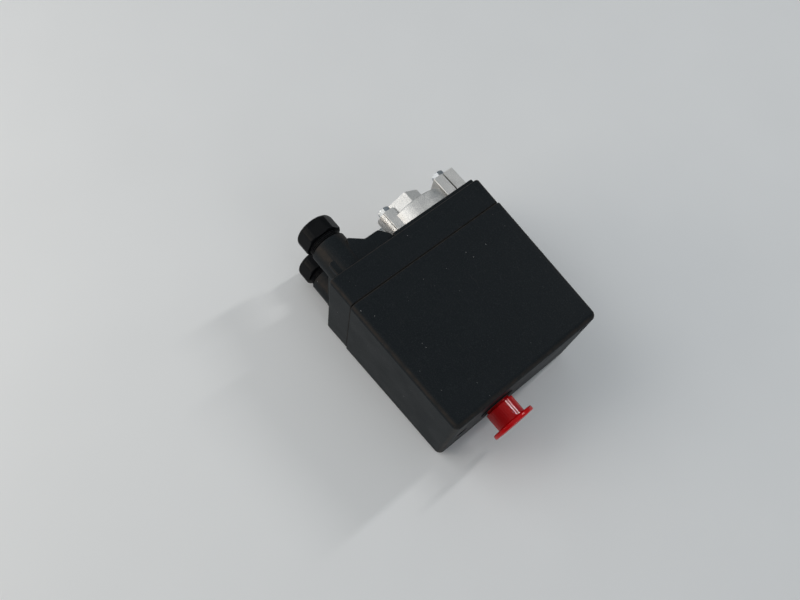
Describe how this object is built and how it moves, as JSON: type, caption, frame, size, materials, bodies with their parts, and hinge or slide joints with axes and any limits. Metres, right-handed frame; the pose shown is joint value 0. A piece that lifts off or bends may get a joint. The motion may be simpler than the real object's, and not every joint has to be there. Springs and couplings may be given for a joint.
{
  "type": "pressure switch",
  "caption": "Air compressor pressure switch: moulded hood over a shallow base, cast flange with hexagonal pressure port, cable glands, and a push/pull knob.",
  "frame": {"origin": "centre of the pressure port's mouth, on the port axis", "axes": "+X along the service axis from the port towards the knob, +Z out of the front, away from the flat back that it lies on, and -Y towards the cable glands"},
  "size_m": [0.172, 0.1204, 0.0758],
  "materials": {
    "hood_plastic": "fine-grained moulding, lightly scuffed",
    "gland_plastic": "satin polyamide",
    "cast_alloy": "as cast, unpainted",
    "knob_plastic": "gloss",
    "plated_steel": "zinc plated",
    "spring_steel": "drawn wire",
    "black_rubber": "matte",
    "brass": "machined",
    "phenolic": "moulded phenolic",
    "acetal": "smooth"
  },
  "bodies": {
    "root": {"base_housing": "hood_plastic", "cover_gasket": "black_rubber", "cover_pillars": "plated_steel", "flange": "cast_alloy", "flange_screws": "plated_steel", "flange_washers": "plated_steel", "diaphragm": "black_rubber", "piston_guide": "acetal", "mounting_plate": "plated_steel", "side_plates": "plated_steel", "top_plate": "plated_steel", "pivot_pin": "plated_steel", "pivot_clips": "plated_steel", "main_spring": "spring_steel", "differential_spring": "spring_steel", "rod_spring": "spring_steel", "terminal_block": "phenolic", "block_screws": "plated_steel", "fixed_contacts": "brass", "terminal_clamps": "plated_steel", "terminal_screws": "plated_steel", "earth_clamp": "brass", "earth_screw": "brass", "upper_gland_body": "gland_plastic", "upper_gland_seal": "black_rubber", "lower_gland_body": "gland_plastic", "lower_gland_seal": "black_rubber", "unloader_body": "brass", "unloader_spring": "spring_steel", "unloader_nut": "brass"},
    "cover": {"cover": "hood_plastic", "cover_screws": "plated_steel", "knob_collar": "black_rubber"},
    "knob": {"knob": "knob_plastic", "knob_clip": "plated_steel"},
    "rod": {"switch_rod": "plated_steel"},
    "rocker": {"rocker": "plated_steel"},
    "piston": {"piston": "acetal"},
    "carrier": {"contact_carrier": "acetal", "contact_bridges": "brass", "contact_springs": "spring_steel"},
    "plunger": {"unloader_plunger": "plated_steel"},
    "adjuster": {"adjusting_screw": "plated_steel"},
    "spring_plate": {"spring_plate": "plated_steel"},
    "differential_adjuster": {"differential_screw": "plated_steel"},
    "differential_plate": {"differential_plate": "plated_steel"},
    "upper_cap": {"upper_gland_cap": "gland_plastic"},
    "lower_cap": {"lower_gland_cap": "gland_plastic"}
  },
  "joints": [
    {"name": "cover_slide", "type": "slide", "parent": "root", "child": "cover", "axis": [1, 0, 0], "range_m": [0, 0.11]},
    {"name": "knob_slide", "type": "slide", "parent": "cover", "child": "knob", "axis": [-1, 0, 0], "range_m": [0, 0.006]},
    {"name": "rod_slide", "type": "slide", "parent": "root", "child": "rod", "axis": [-1, 0, 0], "range_m": [0, 0.006], "deforming": ["rod_spring"]},
    {"name": "rocker_tilt", "type": "hinge", "parent": "root", "child": "rocker", "pos_m": [0.052, -0.016, 0], "axis": [0, 0, -1], "range_deg": [0, 4], "deforming": ["main_spring", "differential_spring"]},
    {"name": "piston_slide", "type": "slide", "parent": "root", "child": "piston", "axis": [1, 0, 0], "range_m": [0, 0.0012], "deforming": ["diaphragm"]},
    {"name": "carrier_slide", "type": "slide", "parent": "root", "child": "carrier", "axis": [-1, 0, 0], "range_m": [0, 0.0019]},
    {"name": "plunger_slide", "type": "slide", "parent": "root", "child": "plunger", "axis": [1, 0, 0], "range_m": [0, 0.0026], "deforming": ["unloader_spring"]},
    {"name": "adjuster_turn", "type": "hinge", "parent": "root", "child": "adjuster", "pos_m": [0.104, 0, 0], "axis": [1, 0, 0], "range_deg": [0, 1460]},
    {"name": "spring_plate_slide", "type": "slide", "parent": "root", "child": "spring_plate", "axis": [-1, 0, 0], "range_m": [0, 0.005]},
    {"name": "differential_turn", "type": "hinge", "parent": "root", "child": "differential_adjuster", "pos_m": [0.104, 0.019, 0], "axis": [1, 0, 0], "range_deg": [0, 1460]},
    {"name": "differential_plate_slide", "type": "slide", "parent": "root", "child": "differential_plate", "axis": [-1, 0, 0], "range_m": [0, 0.0032]},
    {"name": "upper_cap_turn", "type": "hinge", "parent": "root", "child": "upper_cap", "pos_m": [-0.005, -0.066, 0.022], "axis": [-1, 0, 0], "range_deg": [0, 150]},
    {"name": "lower_cap_turn", "type": "hinge", "parent": "root", "child": "lower_cap", "pos_m": [-0.005, -0.066, -0.022], "axis": [-1, 0, 0], "range_deg": [0, 150]}
  ],
  "couplings": [
    {"joint": "rod_slide", "follows": "knob_slide", "ratio": 1},
    {"joint": "piston_slide", "follows": "rocker_tilt", "m_per_rad": 0.016},
    {"joint": "carrier_slide", "follows": "rocker_tilt", "m_per_rad": 0.026},
    {"joint": "plunger_slide", "follows": "rocker_tilt", "m_per_rad": 0.036},
    {"joint": "adjuster_turn", "follows": "spring_plate_slide", "rad_per_m": 5026.5},
    {"joint": "differential_turn", "follows": "differential_plate_slide", "rad_per_m": 7854}
  ]
}
